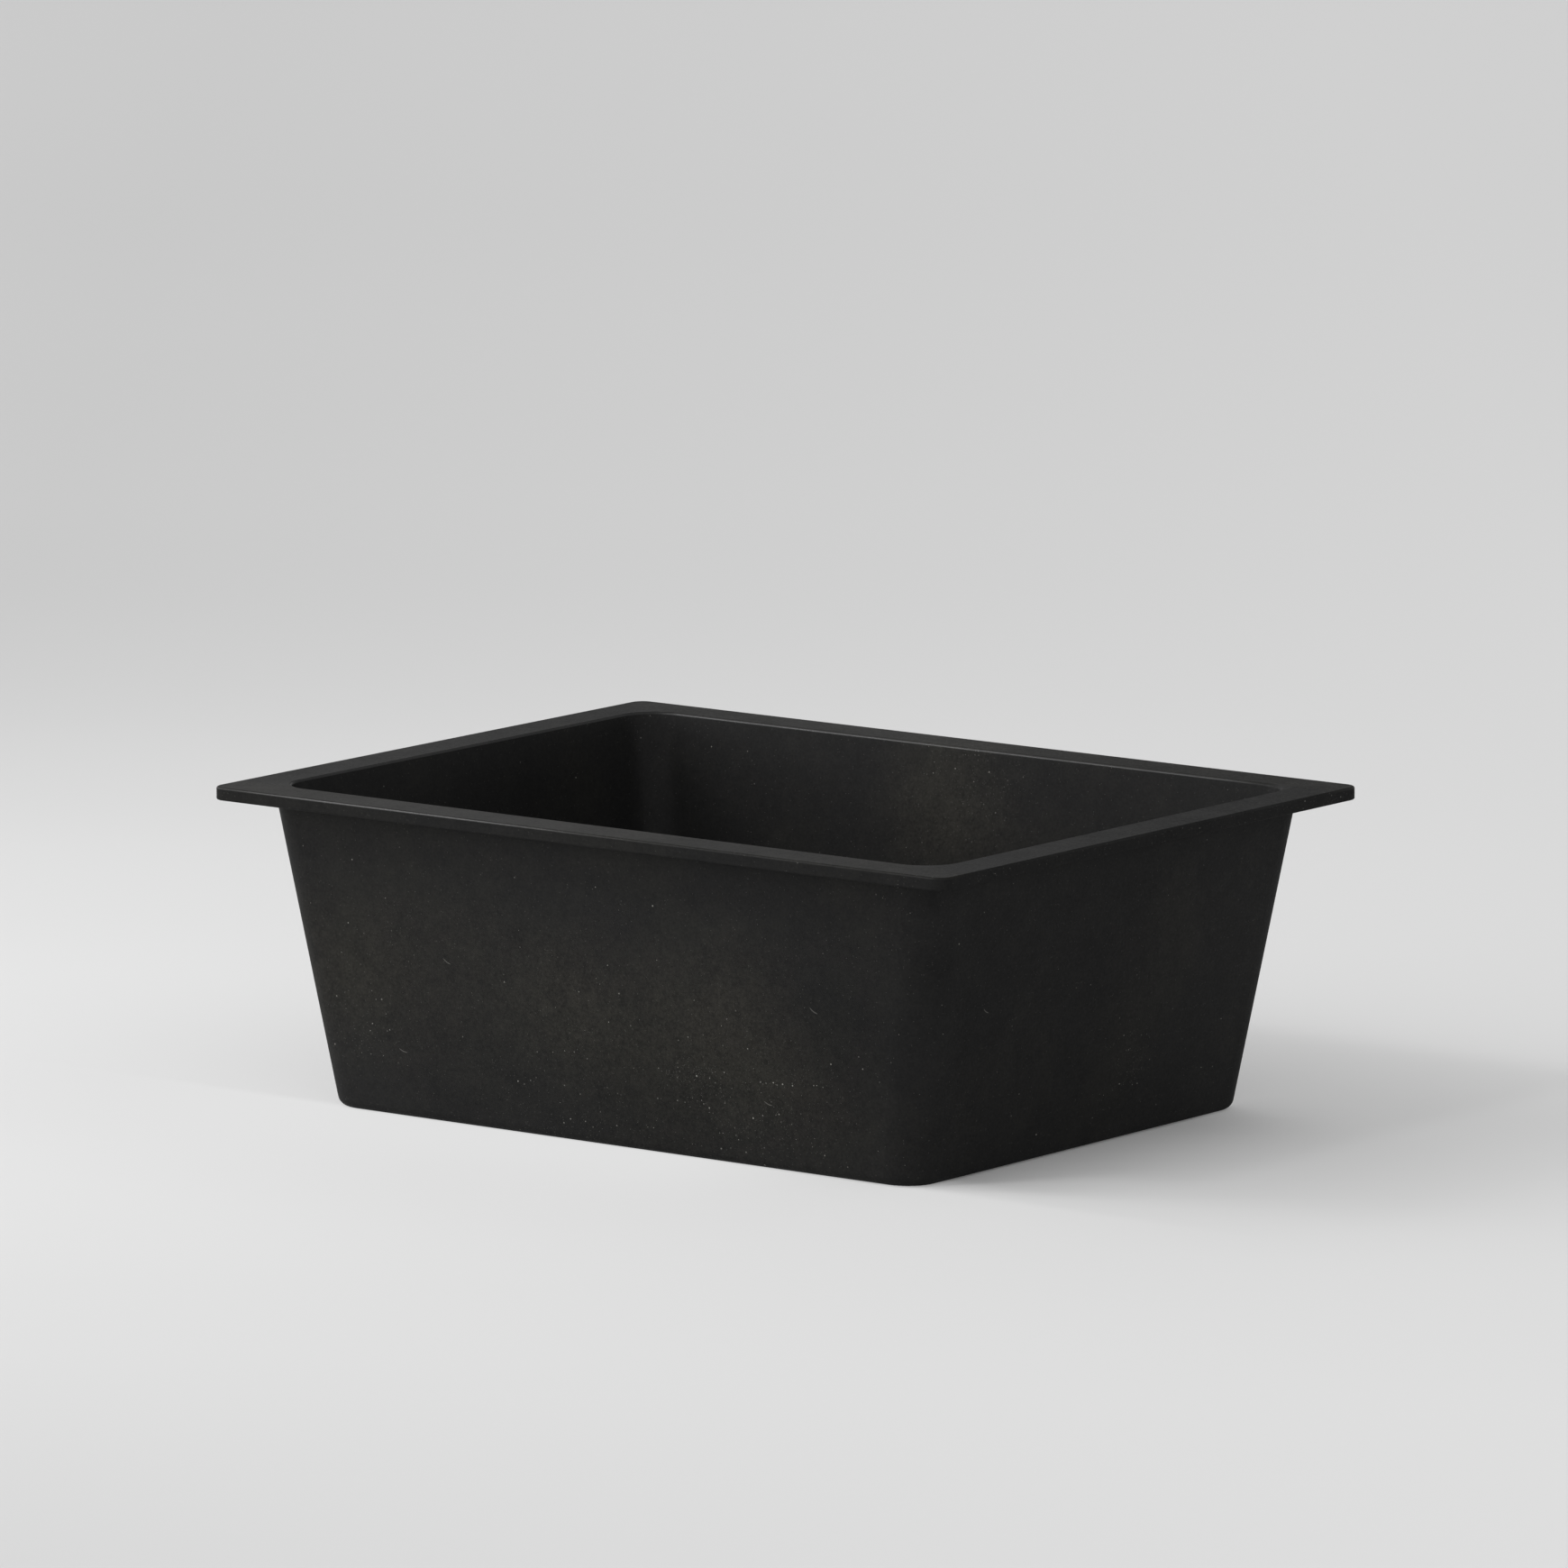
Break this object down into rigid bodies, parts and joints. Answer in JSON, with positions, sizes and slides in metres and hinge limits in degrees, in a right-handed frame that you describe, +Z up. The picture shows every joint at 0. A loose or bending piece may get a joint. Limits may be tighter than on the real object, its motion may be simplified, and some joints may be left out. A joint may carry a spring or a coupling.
{
  "type": "granite kitchen sink",
  "caption": "Rectangular kitchen sink cast in dark granite composite, with a thin flat rim, leaning walls and a basket waste with a pull-up stopper in its floor.",
  "frame": {"origin": "middle of the foot plane on which the sink stands", "axes": "+X along the long side, +Y to the back, +Z up"},
  "size_m": [0.65, 0.499, 0.232],
  "materials": {
    "granite": "matte cast granite composite, near black with fine pale specks",
    "brass": "turned",
    "cup_steel": "satin pressed stainless sheet",
    "basket_steel": "perforated stainless sheet",
    "bolt_steel": "turned stainless",
    "knob_steel": "polished stainless",
    "gasket_rubber": "matte",
    "seal_rubber": "smooth",
    "body_plastic": "moulded polypropylene",
    "bush_plastic": "moulded"
  },
  "bodies": {
    "bowl": {"sink_bowl": "granite", "rim_inserts": "brass", "strainer_cup": "cup_steel", "flange_gasket": "gasket_rubber", "body_gasket": "gasket_rubber", "waste_body": "body_plastic", "body_insert": "brass", "clamp_bolt": "bolt_steel", "bolt_washer": "gasket_rubber"},
    "basket": {"basket_cup": "basket_steel", "guide_bush": "bush_plastic"},
    "stopper": {"stopper_seal": "seal_rubber", "seal_plate": "bolt_steel", "stopper_spindle": "bolt_steel", "spindle_ring": "seal_rubber", "spindle_nut": "bolt_steel", "stopper_knob": "knob_steel"}
  },
  "joints": [
    {"name": "basket_lift", "type": "slide", "parent": "bowl", "child": "basket", "axis": [0, 0, 1], "range_m": [0, 0.22]},
    {"name": "stopper_pull", "type": "slide", "parent": "basket", "child": "stopper", "axis": [0, 0, 1], "range_m": [0, 0.007]}
  ]
}
